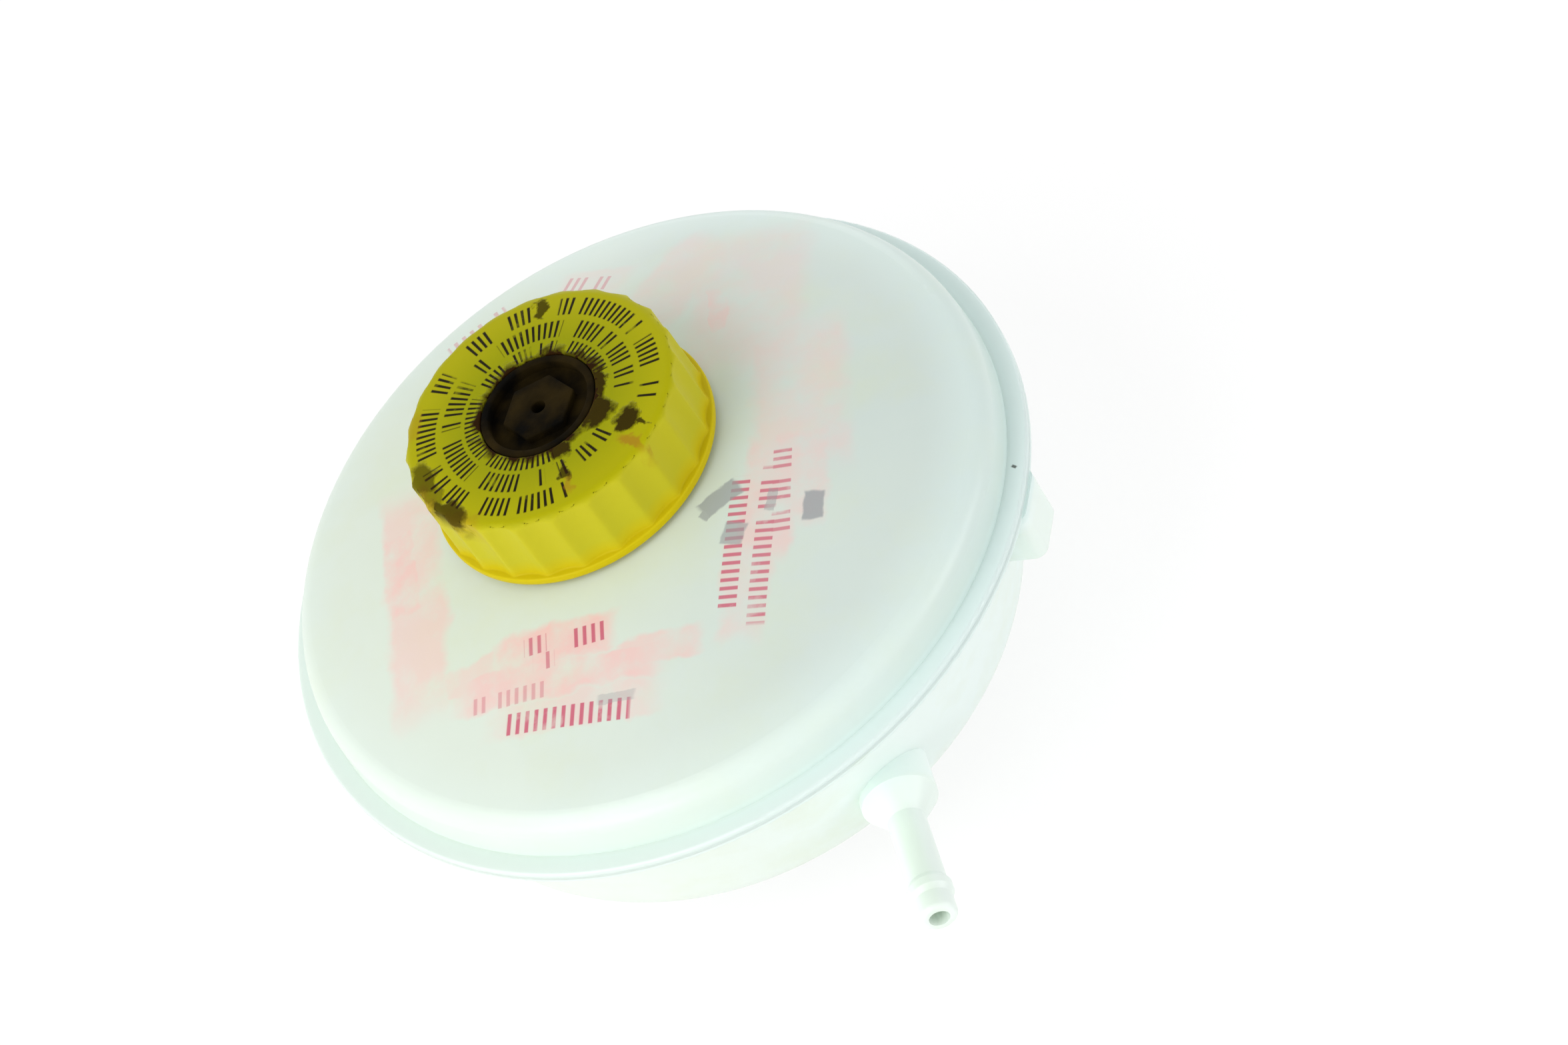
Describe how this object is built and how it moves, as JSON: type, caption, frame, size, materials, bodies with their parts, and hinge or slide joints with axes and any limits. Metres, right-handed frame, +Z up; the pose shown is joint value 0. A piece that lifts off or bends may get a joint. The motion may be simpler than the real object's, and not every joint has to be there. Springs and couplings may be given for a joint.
{
  "type": "brake fluid reservoir",
  "caption": "Round translucent brake fluid reservoir with an off-centre yellow screw cap, strainer, bottom outlet spigots and a side hose nipple.",
  "frame": {"origin": "middle of the flat underside, on the round body's axis, half way between the two outlet spigots", "axes": "+Z up along the body's axis through the filler cap's side, -Y the way the hose nipple points, X along the line of the two outlets"},
  "size_m": [0.13, 0.1457, 0.08],
  "materials": {
    "upper_shell": "moulded translucent, slightly yellow-green with age",
    "lower_shell": "moulded translucent, slightly yellow-green with age",
    "filler_cap": "moulded yellow, satin",
    "cap_insert": "moulded black, dirty",
    "cap_seal": "moulded rubber",
    "strainer": "moulded white"
  },
  "bodies": {
    "reservoir": {"upper_shell": "upper_shell", "lower_shell": "lower_shell", "strainer": "strainer"},
    "seal": {"cap_seal": "cap_seal"},
    "cap": {"filler_cap": "filler_cap", "cap_insert": "cap_insert"}
  },
  "joints": [
    {"name": "seal_lift", "type": "slide", "parent": "reservoir", "child": "seal", "axis": [0, 0, 1], "range_m": [0, 0.0134]},
    {"name": "cap_turn", "type": "hinge", "parent": "seal", "child": "cap", "pos_m": [-0.00478, 0.00654, 0.06], "axis": [0, 0, 1], "range_deg": [0, 600]}
  ],
  "couplings": [
    {"joint": "seal_lift", "follows": "cap_turn", "m_per_rad": 0.0012732}
  ]
}
